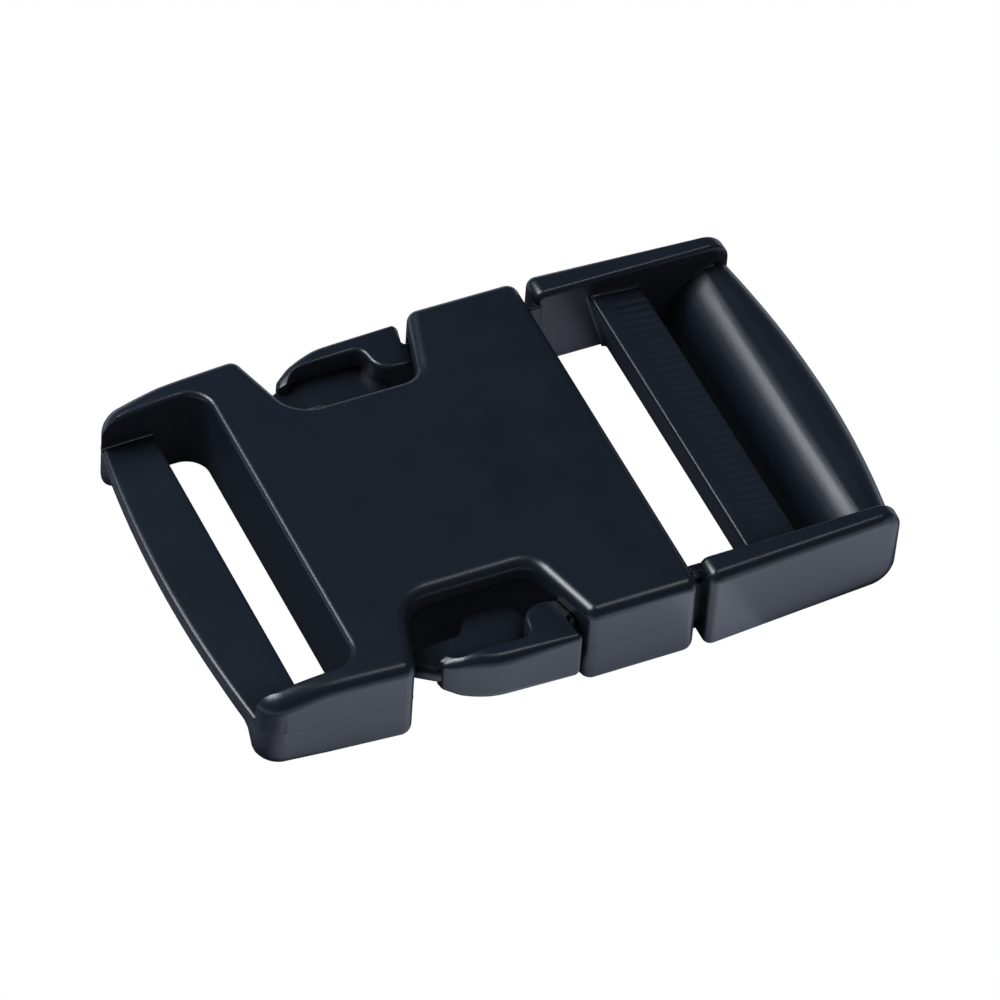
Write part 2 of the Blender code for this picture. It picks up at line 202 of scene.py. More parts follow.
# Acetal
DARK_NAVY = (0.0034, 0.0066, 0.0128, 1)
LIGHT_NAVY = (0.0040, 0.0075, 0.0142, 1)
# painted glow: a faint emission that lifts the darks, dimmed in corners by the painted shade
PAINTED_GLOW_TINT = (0.0030, 0.0034, 0.0044, 1)
ROUGHNESS = (0.29, 0.33)
SPECULAR = (0.15, 0.5)         # in deep corners, in the open: painted shade lowers the reflection in corners
REFRACTION = 1.48
MOTTLE_SCALE, GRAIN_SCALE = 140, 5200
GRAIN_STRENGTH, GRAIN_HEIGHT = 0.16, 0.05 * MM
SHADE_REACH = 5 * MM          # how near a neighbouring face darkens a corner with painted shade
SIDE_SHADE_RANGE = (0.15, 0.7, 0.15, 1.0)        # painted shade on faces that look sideways: unoccluded share from and to, shade factor from and to
# painted shade on faces that look up: unoccluded share from and to, shade factor from and to
TOP_SHADE_RANGE = (0.5, 0.97, 0.0, 1.0)
MOTTLE_RANGE = (0.3, 0.7)      # the part of the noise that the mottle spreads over its whole range

# Floor and light
FLOOR_HALF = 3.0
FLOOR_GAP = 0.02 * MM
# how far the painted shadow on the floor's bounce reaches from the buckle
FLOOR_SHADOW_REACH = 12 * MM
BOUNCE = 1.7                   # light that the floor sends back up, beside the buckle
BOUNCE_TINT = (0.80, 0.87, 1.05, 1)
FRONT_LEFT_SHARE = 0.08        # what is left of the front's bounce at the socket's end
LEFT_SHARE = 0.22
GAP_SHARE = 1.5                # between the mouth and the grip bar, towards the far side
SHALLOW_FRONT_SHARE = 0.4      # what is left of the front's bounce at shallow angles
BESIDE_SHARE = 0.55            # at shallow angles, all round the buckle
LEAST_BOUNCE = 0.05
WHITE = (1, 1, 1, 1)
ROOM_TINT = (0.045, 0.05, 0.06, 1)
LAMP_TINT = (0.90, 0.95, 1.0)

# Camera
AZIMUTH, ELEVATION, ROLL = math.radians(-27.22), math.radians(46.5), math.radians(4.24)
CAMERA_DISTANCE = 0.8433
FOCAL_LENGTH, SENSOR_WIDTH = 301.3, 36
CLIP_START, CLIP_END = 0.05, 20
AIM = Vector((MOUTH_X - 9.62 * MM, 3.384 * MM, 0))


def arc(centre, start, turn):
    """Points and outward directions round centre, from the vector start, through the angle turn."""
    steps = max(2, math.ceil(abs(turn) / ARC_STEP))
    found = []
    for index in range(steps + 1):
        angle = turn * index / steps
        spoke = Matrix.Rotation(angle, 2) @ start
        found.append((centre + spoke, spoke.normalized()))
    return found


def expand(corners):
    """Outline stations from corners (x, y, plan radius, rounding above, rounding below).

    The corners run anticlockwise. Each station is (point, offset direction, rounding above, rounding below).
    """
    stations = []
    count = len(corners)
    for index, (x, y, plan, above, below) in enumerate(corners):
        here = Vector((x, y))
        to_before = (Vector(corners[index - 1][:2]) - here).normalized()
        to_after = (Vector(corners[(index + 1) % count][:2]) - here).normalized()
        turn = math.pi - to_before.angle(to_after)
        convex = to_before.cross(to_after) < 0
        inward = (to_before + to_after).normalized()
        half = (math.pi - turn) / 2
        if plan <= 0:
            if turn < NEARLY_STRAIGHT:
                reach = Vector((to_after.y, -to_after.x))
            else:
                reach = inward * (-1 if convex else 1) / math.sin(half)
            stations.append((here, reach, above, below))
            continue
        centre = here + inward * (plan / math.sin(half))
        start = here + to_before * (plan / math.tan(half)) - centre
        if convex:
            above, below = min(above, plan), min(below, plan)
        for point, spoke in arc(centre, start, turn if convex else -turn):
            stations.append((point, spoke if convex else -spoke, above, below))
    return stations


def both_sides(corners):
    """Corners given for +Y from the mouth end to the far end, anticlockwise, then the same mirrored."""
    return list(corners) + [(c[0], -c[1], *c[2:]) for c in reversed(corners)]


def filled(corners, plan=0.0, above=0.0, below=0.0):
    """Corners with the missing radii filled in."""
    spare = (0, 0, plan, above, below)
    return [tuple(c) + spare[len(c):] for c in corners]


def solid(name, stations, low, high, upright=False, flare_low=False, flare_high=False, seam=False):
    """A closed solid over an outline, with its rims rounded by each station's own radii.

    A flared solid is a cutter whose rim opens outwards at low or high, which rounds the rim of what it
    leaves. An upright solid has its outline in X-Z and its height along Y.
    """
    rings = []
    quarter = [math.pi / 2 * step / ROUND_STEPS for step in range(ROUND_STEPS + 1)]
    sign_low, sign_high = (-1 if flare_low else 1), (-1 if flare_high else 1)

    def ring(offset_of, height_of):
        rings.append([
            (point - way * offset_of(above, below), height_of(above, below))
            for point, way, above, below in stations
        ])

    if flare_low:
        ring(lambda a, b: -b, lambda a, b: low - BEYOND)
    for angle in quarter:
        share = 1 - math.sin(angle)
        drop = 1 - math.cos(angle)
        ring(lambda a, b: sign_low * b * share, lambda a, b: low + b * drop)
    if seam:
        middle = (low + high) / 2
        ring(lambda a, b: 0, lambda a, b: middle - SEAM_HALF)
        ring(lambda a, b: -SEAM_RISE, lambda a, b: middle - SEAM_HALF / 3)
        ring(lambda a, b: -SEAM_RISE, lambda a, b: middle + SEAM_HALF / 3)
        ring(lambda a, b: 0, lambda a, b: middle + SEAM_HALF)
    for angle in reversed(quarter):
        share = 1 - math.sin(angle)
        drop = 1 - math.cos(angle)
        ring(lambda a, b: sign_high * a * share, lambda a, b: high - a * drop)
    if flare_high:
        ring(lambda a, b: -a, lambda a, b: high + BEYOND)
    return from_rings(name, rings, upright)


def from_rings(name, rings, upright=False):
    """A closed solid through rings of (point, height)."""
    if upright:
        return skin(name, [[(p.x, height, p.y) for p, height in ring] for ring in rings])
    return skin(name, [[(p.x, p.y, height) for p, height in ring] for ring in rings])


def skin(name, rows):
    """A closed solid through rows of places, each row once round it, capped at both ends."""
    shape = bmesh.new()
    made = [[shape.verts.new(place) for place in row] for row in rows]
    size = len(rows[0])
    for lower, upper in zip(made, made[1:]):
        for i in range(size):
            j = (i + 1) % size
            shape.faces.new((lower[i], lower[j], upper[j], upper[i]))
    shape.faces.new(list(reversed(made[0])))
    shape.faces.new(made[-1])
    mesh = bpy.data.meshes.new(name)
    weld_into(mesh, shape)
    obj = bpy.data.objects.new(name, mesh)
    bpy.context.scene.collection.objects.link(obj)
    return obj


def weld_into(mesh, shape):
    """Welds a shape, turns its faces outwards and puts it in the mesh."""
    bmesh.ops.remove_doubles(shape, verts=shape.verts, dist=WELD)
    bmesh.ops.dissolve_degenerate(shape, edges=shape.edges, dist=WELD)
    bmesh.ops.recalc_face_normals(shape, faces=shape.faces)
    shape.to_mesh(mesh)
    shape.free()


def weld(obj):
    shape = bmesh.new()
    shape.from_mesh(obj.data)
    weld_into(obj.data, shape)


def combine(obj, other, operation="UNION"):
    modifier = obj.modifiers.new("combine", "BOOLEAN")
    modifier.operation = operation
    modifier.solver = "EXACT"
    modifier.object = other
    bpy.context.view_layer.update()
    graph = bpy.context.evaluated_depsgraph_get()
    mesh = bpy.data.meshes.new_from_object(obj.evaluated_get(graph))
    obj.modifiers.clear()
    obj.data = mesh
    bpy.data.objects.remove(other, do_unlink=True)


def cut(obj, cutter):
    combine(obj, cutter, "DIFFERENCE")


def slice_along(obj, axis, places, low_x, high_x):
    """Edge loops at places along an axis, between low_x and high_x, so that the shape can be bent there."""
    normal = Vector((axis == 0, axis == 1, axis == 2))
    shape = bmesh.new()
    shape.from_mesh(obj.data)
    for place in places:
        faces = [f for f in shape.faces if any(low_x <= v.co.x <= high_x for v in f.verts)]
        edges = list({e for f in faces for e in f.edges})
        verts = list({v for f in faces for v in f.verts})
        bmesh.ops.bisect_plane(
            shape,
            geom=verts + edges + faces,
            plane_co=normal * place,
            plane_no=normal,
            dist=1e-5,
        )
    shape.to_mesh(obj.data)
    shape.free()


def clamped(value):
    return min(1, max(0, value))


def across(half):
    """Evenly spaced places for edge loops between -half and half."""
    return [half * (2 * step / BOW_SLICES - 1) for step in range(1, BOW_SLICES)]


def bow(obj, still_x, moving_x, rise, half):
    """Bows the side at moving_x outwards along X by rise in the middle, and leaves still_x straight."""
    for vertex in obj.data.vertices:
        share = clamped((vertex.co.x - still_x) / (moving_x - still_x))
        bulge = max(0, 1 - (vertex.co.y / half) ** 2)
        vertex.co.x += math.copysign(rise, moving_x - still_x) * share * bulge


def to_frame(obj, material):
    """Moves a finished shape to the frame, and gives it its material and its shading."""
    mesh = obj.data
    mesh.transform(TO_FRAME)
    mesh.materials.clear()
    mesh.materials.append(material)
    mesh.shade_smooth()
    mesh.set_sharp_from_angle(angle=SMOOTH_BELOW)
    weighted = obj.modifiers.new("even_shading", "WEIGHTED_NORMAL")
    weighted.keep_sharp = True
    weighted.weight = 80
    return obj


def socket():
    body = solid("socket_shell", socket_outline(), 0, THICK, seam=True)
    cut_slot(body)
    cut(body, cavity())
    for side in (-1, 1):
        combine(body, guide(side))
    roll_rim(body)
    slice_along(body, 1, across(LOOP_HALF), LOOP_END_X - BEYOND, BAR_X + OVERLAP)
    bow(body, BAR_X, LOOP_END_X, LOOP_BOW, LOOP_HALF)
    return body


def socket_outline():
    sides = filled([
        (0, MOUTH_HALF, SOCKET_CORNER),
        (WINDOW_REAR, MOUTH_HALF, SOCKET_CORNER),
        (WINDOW_REAR_FOOT, WINDOW_FOOT_Y, WINDOW_REAR_ROUND),
        (WINDOW_FRONT_FOOT, WINDOW_FOOT_Y, WINDOW_FRONT_ROUND),
        (WINDOW_FRONT, FRONT_HALF, SOCKET_CORNER),
        LOOP_START,
    ], above=TOP_EDGE, below=LOW_EDGE)
    end = [(LOOP_END_X, LOOP_HALF, LOOP_CORNER, END_TOP_EDGE, END_LOW_EDGE)]
    end += [(LOOP_END_X, y, 0, END_TOP_EDGE, below) for y, below in UNDERSIDE_GROWTH]
    return expand(both_sides(sides + end))


def cut_slot(body):
    """The webbing slot, and the loop's pocket with its bar lower than the rim."""
    pocket_end = LOOP_END_X - BEYOND
    pocket = solid("pocket", expand([
        (SLOT_REAR, -SLOT_HALF, SLOT_CORNER, SLOT_EDGE, POCKET_FLOOR_EDGE),
        (SLOT_REAR, SLOT_HALF, SLOT_CORNER, SLOT_EDGE, POCKET_FLOOR_EDGE),
        (pocket_end, SLOT_HALF, 0, SLOT_EDGE, POCKET_FLOOR_EDGE),
        (pocket_end, -SLOT_HALF, 0, SLOT_EDGE, POCKET_FLOOR_EDGE),
    ]), BAR_TOP, THICK, flare_high=True)
    cut(body, pocket)
    slot = solid("loop_slot", expand([
        (SLOT_REAR, -SLOT_HALF, SLOT_CORNER, 0, SLOT_EDGE),
        (SLOT_REAR, SLOT_HALF, SLOT_CORNER, 0, SLOT_EDGE),
        (BAR_X, SLOT_HALF, 0, 0, SLOT_EDGE),
        (BAR_X, -SLOT_HALF, 0, 0, SLOT_EDGE),
    ]), 0, BAR_TOP + OVERLAP, flare_low=True)
    cut(body, slot)
    half = SLOT_HALF - POCKET_FLOOR_EDGE
    cut(body, edge_cutter("bar_outer_edge", (LOOP_END_X, BAR_TOP), (-1, 1), BAR_OUTER_EDGE, half))
    cut(body, edge_cutter("bar_inner_edge", (BAR_X, BAR_TOP), (1, 1), BAR_INNER_EDGE, half))


def guide(side):
    """Rib inside the socket that the plug's tongue runs along."""
    front = CAVITY_FRONT - SINK
    corners = [
        (GUIDE_REAR, side * GUIDE_INNER), (GUIDE_REAR, side * GUIDE_OUTER),
        (front, side * GUIDE_OUTER), (front, side * GUIDE_INNER),
    ]
    if side < 0:
        corners.reverse()
    return solid("guide", expand(filled(corners)), PLATE - SINK, THICK - PLATE + SINK)


def roll_rim(body):
    """Lowers the loop's rim towards its outer end."""
    reach = RIM_ROLL_X - LOOP_END_X
    places = [RIM_ROLL_X - reach * step / ROLL_SLICES for step in range(ROLL_SLICES)]
    slice_along(body, 0, places, LOOP_END_X - BEYOND, RIM_ROLL_X + 1)
    for vertex in body.data.vertices:
        past = max(0, RIM_ROLL_X - vertex.co.x) / reach
        lift = max(0, vertex.co.z - MIDDLE) / MIDDLE
        vertex.co.z -= RIM_ROLL * past ** 3 * lift


def edge_cutter(name, edge, way, radius, half):
    """Cuts the rounding of a straight edge along Y at (x, z) that points outwards along way."""
    corner = Vector(edge)
    out_x, out_z = Vector((way[0], 0)), Vector((0, way[1]))
    centre = corner - (out_x + out_z) * radius
    points = [
        centre + (out_x * math.cos(a) + out_z * math.sin(a)) * radius
        for a in (math.pi / 2 * step / ROUND_STEPS for step in range(ROUND_STEPS + 1))
    ]
    points += [
        centre + out_z * (radius + 1),
        centre + (out_x + out_z) * (radius + 1),
        centre + out_x * (radius + 1),
    ]
    rings = [[(p, y) for p in points] for y in (-half, half)]
    return from_rings(name, rings, upright=True)


def cavity():
    """The hollow that takes the plug, with a rounded lip at the mouth."""
    low, high = PLATE, THICK - PLATE
    sections = [(BEYOND, LIP)]
    for step in range(ROUND_STEPS + 1):
        angle = math.pi / 2 * step / ROUND_STEPS
        sections.append((SKIM - LIP * (1 - math.cos(angle)), LIP * (1 - math.sin(angle))))
    narrowing = CAVITY_FRONT_HALF - THROAT_HALF
    sections += [(CAVITY_STEP, 0), (CAVITY_STEP - CAVITY_STEP_LENGTH, narrowing), (CAVITY_FRONT, narrowing)]
    rows = []
    for x, grow in sections:
        half = THROAT_HALF + grow
        rise = max(grow, 0)
        ring = expand(filled([
            (half, low - rise), (half, high + rise), (-half, high + rise), (-half, low - rise),
        ], plan=THROAT_CORNER))
        rows.append([(x, p.x, p.y) for p, *_ in ring])
    return skin("cavity", rows)


def rail(side):
    made = solid("rail", expand([
        (RAIL_FRONT, 0, RAIL_FRONT_LOW_ROUND, RAIL_LOW_EDGE, RAIL_INNER_EDGE),
        (RAIL_REAR, 0, RAIL_REAR_LOW_ROUND, RAIL_LOW_EDGE, RAIL_INNER_EDGE),
        (RAIL_REAR, THICK, RAIL_REAR_HIGH_ROUND, RAIL_HIGH_EDGE, RAIL_INNER_EDGE),
        (RAIL_FRONT, THICK, RAIL_FRONT_HIGH_ROUND, RAIL_HIGH_EDGE, RAIL_INNER_EDGE),
    ]), RAIL_INNER, RAIL_OUTER, upright=True)
    for vertex in made.data.vertices:
        share = (vertex.co.x - RAIL_FRONT) / (RAIL_REAR - RAIL_FRONT)
        depth = (vertex.co.y - RAIL_INNER) / (RAIL_OUTER - RAIL_INNER)
        vertex.co.y -= RAIL_NARROWING * share * depth
        vertex.co.y *= side
    weld(made)
    return made


def bar_rings(stations, fillet, extra=()):
    """Rings along Y for a bar between the rails, which widens into them by each station's own radius."""
    ends = [(1.0, RAIL_INNER + SINK)]
    for step in range(ROUND_STEPS + 1):
        angle = math.pi / 2 * step / ROUND_STEPS
        ends.append((1 - math.sin(angle), RAIL_INNER - fillet * (1 - math.cos(angle))))
    inner = [(0.0, y) for y in extra]
    whole = [(share, -y) for share, y in ends] + inner + [(share, y) for share, y in reversed(ends)]
    return [
        [(point + way * widening * share, y) for point, way, widening, _ in stations]
        for share, y in whole
    ]


def collar(side):
    """Shoulder that stops the plug against the socket's mouth."""
    rear = RAIL_FRONT + SINK
    corners = [
        (COLLAR_GAP, side * COLLAR_INNER), (rear, side * COLLAR_INNER),
        (rear, side * COLLAR_OUTER), (COLLAR_GAP, side * COLLAR_OUTER),
    ]
    if side < 0:
        corners.reverse()
    stations = expand(filled(corners, plan=COLLAR_EDGE, above=COLLAR_EDGE, below=COLLAR_EDGE))
    return solid("collar", stations, COLLAR_LOW, COLLAR_HIGH)


def grip_top(x):
    return GRIP_TOP - GRIP_FALL * max(0, x - RIDGE_START)


def ridge_drop(x, y, z):
    """How far the grip bar's surface lies under the ridges' crests."""
    wave = 0.5 + 0.5 * math.cos(2 * math.pi * y / RIDGE_PITCH)
    ends = clamped((RIDGE_REACH - abs(y)) / RIDGE_END_FADE)
    start = clamped((x - RIDGE_START) / RIDGE_START_FADE)
    on_top = clamped((z - grip_top(x) + RIDGE_EDGE_FADE) / RIDGE_EDGE_FADE)
    return RIDGE_DEPTH * wave * ends * start * on_top


def grip_bar():
    """Bar with fine ridges along X. Its corners are (x, z, radius, widening at the rails)."""
    stations = expand(filled([
        (GRIP_FOOT, SKIM, 0.4, 0.4),
        (GRIP_REAR, SKIM, 0.5, 0.3),
        (GRIP_REAR, grip_top(GRIP_REAR), 0.4, 0.4),
        *[(RIDGE_START + x, grip_top(RIDGE_START + x), 0, 0.5) for x in GRIP_TOP_STATIONS],
        (GRIP_FRONT, GRIP_TOP, 0.35, 0.4),
    ]))
    count = round(2 * RIDGE_REACH / RIDGE_PITCH * RINGS_PER_RIDGE)
    extra = [-RIDGE_REACH + 2 * RIDGE_REACH * index / count for index in range(count + 1)]
    shaped = [
        [(Vector((p.x, max(SKIM, p.y - ridge_drop(p.x, y, p.y)))), y) for p, y in ring]
        for ring in bar_rings(stations, GRIP_FILLET, extra)
    ]
    return from_rings("grip_bar", shaped, upright=True)


def end_bar():
    """Rounded bar that the strap turns over, with a flat lip behind it."""
    rise = END_TOP - END_LIP_STEP - END_ARC_LOW
    sweep = math.asin(rise / END_RADIUS)
    front = []
    for step in range(END_ARC_STEPS + 1):
        angle = sweep * (1 - step / END_ARC_STEPS)
        x = END_FRONT + END_RADIUS * (1 - math.cos(angle))
        front.append((x, END_ARC_LOW + END_RADIUS * math.sin(angle), 0, END_FILLET))
    stations = expand(filled([
        (END_FRONT, SKIM, END_FOOT_ROUND),
        (END_REAR - SKIM, SKIM, END_LOW_ROUND),
        (END_REAR - SKIM, END_TOP, END_HIGH_ROUND),
        (front[0][0] + END_LIP_SLOPE, END_TOP, 0, END_FILLET),
        *front,
    ]))
    return from_rings("end_bar", bar_rings(stations, END_FILLET), upright=True)


def arm_outline():
    """Beam, catch, finger pad and head of the +Y latch arm, from (x, y, plan radius, edge rounding)."""
    root = PIVOT_X + ARM_ROOT
    beam_outer, beam_inner = PIVOT_Y + ARM_HALF, PIVOT_Y - ARM_HALF
    corners = [
        (root, beam_inner, 0, ARM_EDGE),
        (root, beam_outer, 0, ARM_EDGE),
        (CATCH_FOOT, beam_outer, 0.3, ARM_EDGE),
        (CATCH, PAD_OUTER, 0.6, PAD_EDGE),
        (PAD_BEND, PAD_OUTER, PAD_BEND_ROUND, PAD_EDGE),
        *PAD_TIP,
        (PAD_FRONT, PAD_INNER, 1.6, 0.2),
        (PAD_REAR, PAD_INNER, 1.1, 0.5),
        (HEAD_FRONT, HEAD_INNER, 2.3, 0.5),
        (HEAD_REAR, HEAD_INNER, 1.0, 0.45),
        (BEAM_FRONT, beam_inner, 1.0, ARM_EDGE),
    ]
    return expand([(x, y, plan, edge, edge) for x, y, plan, edge in corners])


def web():
    """Thin web inside the +Y finger pad, at half height, which ends in the guide nose."""
    corners = [
        WEB_ROOT, (WEB_ROOT[0], WEB_OUTER), (-25.0, WEB_OUTER, 0.3),
        (-27.4, 20.55, 0.9, NOSE_EDGE), (NOSE_X, 18.8, 0.8, NOSE_EDGE), (NOSE_X, NOSE_INNER, 0.5),
        *[(x, y, WEB_CORNER) for x, y in WEB_SCOOP],
    ]
    stations = expand(filled(corners, above=ARM_EDGE, below=ARM_EDGE))
    return solid("web", stations, MIDDLE - WEB_HALF, MIDDLE + WEB_HALF)


def arm(side):
    """One latch arm: thicker at the finger pad, whose tip rolls down, and thinner at its root."""
    made = solid("latch", arm_outline(), INSERT_LOW, INSERT_HIGH)
    places = [PAD_ROLL_X - PAD_SLICE_STEP * step for step in range(PAD_SLICES)]
    slice_along(made, 0, places, PAD_TIP_X - BEYOND, PAD_ROLL_X + 2)
    for vertex in made.data.vertices:
        x, height = vertex.co.x, vertex.co.z - MIDDLE
        gain = PAD_GAIN * clamped((PAD_GAIN_X - x) / PAD_GAIN_LENGTH)
        past = max(0, PAD_ROLL_X - x) / (PAD_ROLL_X - PAD_TIP_X)
        sunk = ROOT_SINK if x > PIVOT_X + ARM_ROOT - 1 else 0
        vertex.co.z = MIDDLE + height * (1 + gain) * (1 - PAD_ROLL * past ** 2) * (1 - sunk)
    combine(made, web())
    for vertex in made.data.vertices:
        vertex.co.y *= side
    weld(made)
    return made


def plug():
    crossbar = filled(both_sides([
        (CROSSBAR_REAR, COLLAR_INNER), (CROSSBAR_REAR, CROSSBAR_REAR_HALF),
        (RAIL_FRONT + SINK, CROSSBAR_REAR_HALF), (RAIL_FRONT + SINK, CROSSBAR_HALF),
        (0.0, CROSSBAR_HALF), (CROSSBAR_FRONT, CROSSBAR_HALF, CROSSBAR_CORNER),
    ]), above=CROSSBAR_EDGE, below=CROSSBAR_EDGE)
    body = solid("plug_moulding", expand(crossbar), INSERT_LOW, INSERT_HIGH)
    tongue = filled(both_sides([
        (CROSSBAR_FRONT + SINK, TONGUE_HALF), (TONGUE_TIP, TONGUE_HALF, TONGUE_ROUND),
    ]), above=ARM_EDGE, below=ARM_EDGE)
    combine(body, solid("tongue", expand(tongue), INSERT_LOW, INSERT_HIGH))
    for side in (-1, 1):
        combine(body, collar(side))
        combine(body, rail(side))
    combine(body, grip_bar())
    combine(body, end_bar())
    half = RAIL_INNER + SINK
    slice_along(body, 1, across(half), END_BOW_START - 1.5, END_REAR + BEYOND)
    bow(body, END_BOW_START, END_REAR, END_BOW, half)
    return body


def remap(tree, source, start, end, low, high):
    """Takes source from the range start to end to the range low to high, clamped."""
    node = tree.nodes.new("ShaderNodeMapRange")
    for name, value in (("From Min", start), ("From Max", end), ("To Min", low), ("To Max", high)):
        node.inputs[name].default_value = value
    tree.links.new(source, node.inputs["Value"])
    return node.outputs["Result"]


def calculate(tree, operation, first, second=None):
    """The result of an operation on one or two values, each a number or a node's output."""
    node = tree.nodes.new("ShaderNodeMath")
    node.operation = operation
    for place, value in enumerate((first, second)):
        if isinstance(value, (int, float)):
            node.inputs[place].default_value = value
        elif value is not None:
            tree.links.new(value, node.inputs[place])
    return node.outputs[0]


def split(tree, vector):
    node = tree.nodes.new("ShaderNodeSeparateXYZ")
    tree.links.new(vector, node.inputs[0])
    return node.outputs


def noise(tree, scale, detail, roughness):
    node = tree.nodes.new("ShaderNodeTexNoise")
    node.inputs["Scale"].default_value = scale
    node.inputs["Detail"].default_value = detail
    node.inputs["Roughness"].default_value = roughness
    where = tree.nodes.new("ShaderNodeTexCoord")
    tree.links.new(where.outputs["Object"], node.inputs["Vector"])
    return node.outputs["Fac"]


def painted_corner_shade(tree):
    """Painted shade: from 0 in deep corners to 1 in the open, stricter for faces that look up."""
    hollow = tree.nodes.new("ShaderNodeAmbientOcclusion")
    hollow.samples = 6
    hollow.inputs["Distance"].default_value = SHADE_REACH
    facing = tree.nodes.new("ShaderNodeNewGeometry")
    mixed = tree.nodes.new("ShaderNodeMix")
    tree.links.new(split(tree, facing.outputs["Normal"])["Z"], mixed.inputs["Factor"])
    tree.links.new(remap(tree, hollow.outputs["AO"], *SIDE_SHADE_RANGE), mixed.inputs["A"])
    tree.links.new(remap(tree, hollow.outputs["AO"], *TOP_SHADE_RANGE), mixed.inputs["B"])
    return mixed.outputs["Result"]


def acetal():
    """Navy-black satin acetal: a fine spark-eroded grain, a faint mottle in its gloss, painted shade in its
    corners and a faint painted glow.
    """
    made = bpy.data.materials.new("navy_black_acetal")
    made.use_nodes = True
    tree = made.node_tree
    nodes, links = tree.nodes, tree.links
    shader = nodes["Principled BSDF"]
    # painted shade: darkens the colour, the reflection and the glow in corners and recesses
    corner_shade_factor = painted_corner_shade(tree)
    mottle = noise(tree, MOTTLE_SCALE, 3, 0.5)
    colour = nodes.new("ShaderNodeMix")
    colour.data_type = "RGBA"
    colour.inputs["A"].default_value = DARK_NAVY
    colour.inputs["B"].default_value = LIGHT_NAVY
    links.new(remap(tree, mottle, *MOTTLE_RANGE, 0, 1), colour.inputs["Factor"])
    # the colour, darkened by painted shade in corners
    shaded = nodes.new("ShaderNodeVectorMath")
    shaded.operation = "SCALE"
    links.new(colour.outputs["Result"], shaded.inputs[0])
    links.new(corner_shade_factor, shaded.inputs["Scale"])
    links.new(shaded.outputs[0], shader.inputs["Base Color"])
    # painted shade on the reflection: weaker in corners
    links.new(remap(tree, corner_shade_factor, 0, 1, *SPECULAR), shader.inputs["Specular IOR Level"])
    links.new(remap(tree, mottle, *MOTTLE_RANGE, *ROUGHNESS), shader.inputs["Roughness"])
    bump = nodes.new("ShaderNodeBump")
    bump.inputs["Strength"].default_value = GRAIN_STRENGTH
    bump.inputs["Distance"].default_value = GRAIN_HEIGHT
    links.new(noise(tree, GRAIN_SCALE, 2, 0.6), bump.inputs["Height"])
    links.new(bump.outputs["Normal"], shader.inputs["Normal"])
    shader.inputs["IOR"].default_value = REFRACTION
    # painted glow, dimmed by the painted shade in corners
    shader.inputs["Emission Color"].default_value = PAINTED_GLOW_TINT
    links.new(corner_shade_factor, shader.inputs["Emission Strength"])
    return made


def bounce_strength(tree):
    """How strongly each place on the floor lights the buckle, from where it lies and where its light goes.

    The floor is bright in front of the buckle, at the socket's end and between mouth and grip bar, and less
    bright all round the buckle at shallow angles. Painted shadow darkens its light near and under the
    buckle.
    """
    place = split(tree, tree.nodes.new("ShaderNodeTexCoord").outputs["Object"])
    way = split(tree, tree.nodes.new("ShaderNodeNewGeometry").outputs["Incoming"])
    half_x, half_y, mouth = CAD_BOX[1].x / MM, CAD_BOX[1].y / MM, MOUTH_X / MM

    def band(source, start, end, low, high):
        """Goes from low to high between two places in millimetres."""
        return remap(tree, source, start * MM, end * MM, low, high)

    def product(first, second):
        return calculate(tree, "MULTIPLY", first, second)

    def larger(first, second):
        return calculate(tree, "MAXIMUM", first, second)

    front = band(place["Y"], -half_y - 0.5, -half_y + 1.5, 1.0, 0.0)
    less_left = band(place["X"], -half_x - 2, -half_x + 4, FRONT_LEFT_SHARE, 1.0)
    steep = remap(tree, way["Z"], 0.35, 0.62, SHALLOW_FRONT_SHARE, 1.0)
    left = band(place["X"], -half_x - 1, -half_x + 0.5, LEFT_SHARE, 0.0)
    near_left = band(place["X"], -half_x - 7, -half_x - 3, 0.0, 1.0)
    gap_start = band(place["X"], mouth + 0.5, mouth + 1.5, 0.0, 1.0)
    gap_end = band(place["X"], mouth + 7.5, mouth + 9.5, 1.0, 0.0)
    to_far_side = remap(tree, way["Y"], 0.05, 0.35, 0.0, GAP_SHARE)
    shallow = remap(tree, way["Z"], 0.28, 0.48, BESIDE_SHARE, 0.0)
    beside = larger(*(
        band(calculate(tree, "ABSOLUTE", place[axis]), half - 0.5, half + 0.5, 0.0, 1.0)
        for axis, half in (("Y", half_y), ("X", half_x))
    ))
    sides = larger(product(product(front, less_left), steep), product(left, near_left))
    gap = product(product(gap_start, gap_end), to_far_side)
    outlying = larger(product(shallow, beside), LEAST_BOUNCE)
    # painted shadow: an occlusion test darkens the floor's bounce near and under the buckle
    floor_shadow = tree.nodes.new("ShaderNodeAmbientOcclusion")
    floor_shadow.inputs["Distance"].default_value = FLOOR_SHADOW_REACH
    return product(product(larger(larger(sides, gap), outlying), floor_shadow.outputs["AO"]), BOUNCE)


def floor_material():
    """White where it is seen, a soft bluish light for the buckle, and see-through from below."""
    made = bpy.data.materials.new("pale_floor")
    made.use_nodes = True
    tree = made.node_tree
    nodes, links = tree.nodes, tree.links
    nodes.clear()
    white = nodes.new("ShaderNodeEmission")
    white.inputs["Color"].default_value = WHITE
    bounce = nodes.new("ShaderNodeEmission")
    bounce.inputs["Color"].default_value = BOUNCE_TINT
    links.new(bounce_strength(tree), bounce.inputs["Strength"])

    def choice(test, no, yes):
        node = nodes.new("ShaderNodeMixShader")
        for place, source in enumerate((test, no, yes)):
            links.new(source, node.inputs[place])
        return node.outputs[0]

    seen = nodes.new("ShaderNodeLightPath").outputs["Is Camera Ray"]
    from_below = nodes.new("ShaderNodeNewGeometry").outputs["Backfacing"]
    clear = nodes.new("ShaderNodeBsdfTransparent").outputs[0]
    from_above = choice(seen, bounce.outputs[0], white.outputs[0])
    out = nodes.new("ShaderNodeOutputMaterial")
    links.new(choice(from_below, from_above, clear), out.inputs["Surface"])
    return made


